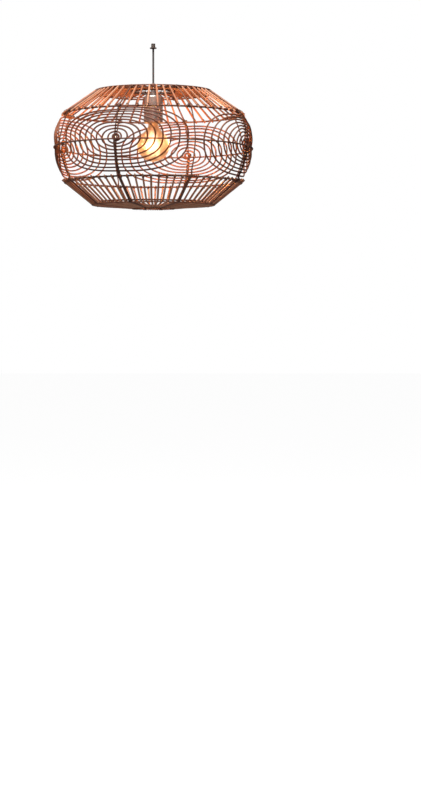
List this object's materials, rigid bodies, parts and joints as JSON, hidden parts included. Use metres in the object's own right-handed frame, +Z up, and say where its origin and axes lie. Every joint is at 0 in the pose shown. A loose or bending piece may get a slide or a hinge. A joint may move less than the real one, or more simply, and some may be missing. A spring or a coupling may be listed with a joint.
{
  "type": "pendant lamp shade",
  "caption": "Round rattan cane lamp shade with coiled oval side panels and straight cane cones, hung on a short cord with a screw lampholder and a globe lamp inside.",
  "frame": {"origin": "where the cord leaves the underside of the lamp's arm, on the shade's own axis", "axes": "+Z up along the cord, out of the top of the bush; -Y towards the viewer of the picture, +X to the viewer's right"},
  "size_m": [0.4978, 0.4978, 0.4088],
  "materials": {
    "cane": "stained peeled cane, thin satin varnish",
    "frame_cane": "darker stained round cane",
    "nickel": "bright plated sheet metal",
    "steel": "plain zinc-plated strip",
    "brass": "turned brass",
    "bakelite": "dark moulded thermoset",
    "porcelain": "glazed ceramic",
    "amber_glass": "clear amber-tinted glass",
    "filament": "glowing filament",
    "flex": "dark grey cable sheath",
    "sleeve": "reddish-brown sleeve"
  },
  "bodies": {
    "bush": {"arm_bush": "bakelite"},
    "cord": {"drop_cord": "flex"},
    "sleeve": {"cord_sleeve": "sleeve"},
    "shade": {"top_ring": "frame_cane", "crown_ring": "frame_cane", "upper_shoulder_ring": "frame_cane", "equator_ring": "frame_cane", "lower_shoulder_ring": "frame_cane", "base_ring": "frame_cane", "mouth_ring": "frame_cane", "rib_1": "frame_cane", "rib_2": "frame_cane", "rib_3": "frame_cane", "rib_4": "frame_cane", "rib_5": "frame_cane", "rib_6": "frame_cane", "rib_7": "frame_cane", "rib_8": "frame_cane", "upper_canes_1": "cane", "upper_canes_2": "cane", "upper_canes_3": "cane", "upper_canes_4": "cane", "upper_canes_5": "cane", "upper_canes_6": "cane", "upper_canes_7": "cane", "upper_canes_8": "cane", "lower_canes_1": "cane", "lower_canes_2": "cane", "lower_canes_3": "cane", "lower_canes_4": "cane", "lower_canes_5": "cane", "lower_canes_6": "cane", "lower_canes_7": "cane", "lower_canes_8": "cane", "eye_coil_1": "cane", "eye_coil_2": "cane", "eye_coil_3": "cane", "eye_coil_4": "cane", "fitter_spider": "steel", "cord_grip": "nickel", "threaded_stem": "brass", "stem_nut": "brass", "holder_cup": "nickel", "holder_cap": "bakelite", "holder_body": "bakelite", "contact_block": "porcelain", "centre_contact": "brass", "thread_sleeve": "brass", "inner_flex": "flex", "conductor_1": "flex", "conductor_2": "flex"},
    "bulb": {"bulb_glass": "amber_glass", "bulb_cap": "nickel", "bulb_insulator": "bakelite", "bulb_contact": "brass", "bulb_stem": "amber_glass", "filament": "filament"}
  },
  "joints": [
    {"name": "cord_swing", "type": "hinge", "parent": "bush", "child": "cord", "pos_m": [0, 0, 0.001], "axis": [1, 0, 0], "range_deg": [-25, 25]},
    {"name": "shade_tilt", "type": "hinge", "parent": "cord", "child": "sleeve", "pos_m": [0, 0, -0.0923], "axis": [0, 1, 0], "range_deg": [-20, 20]},
    {"name": "shade_twist", "type": "hinge", "parent": "sleeve", "child": "shade", "pos_m": [0, 0, -0.1048], "axis": [0, 0, 1], "range_deg": [-45, 45]},
    {"name": "bulb_out", "type": "slide", "parent": "shade", "child": "bulb", "axis": [0, 0, -1], "range_m": [0, 0.25]}
  ]
}
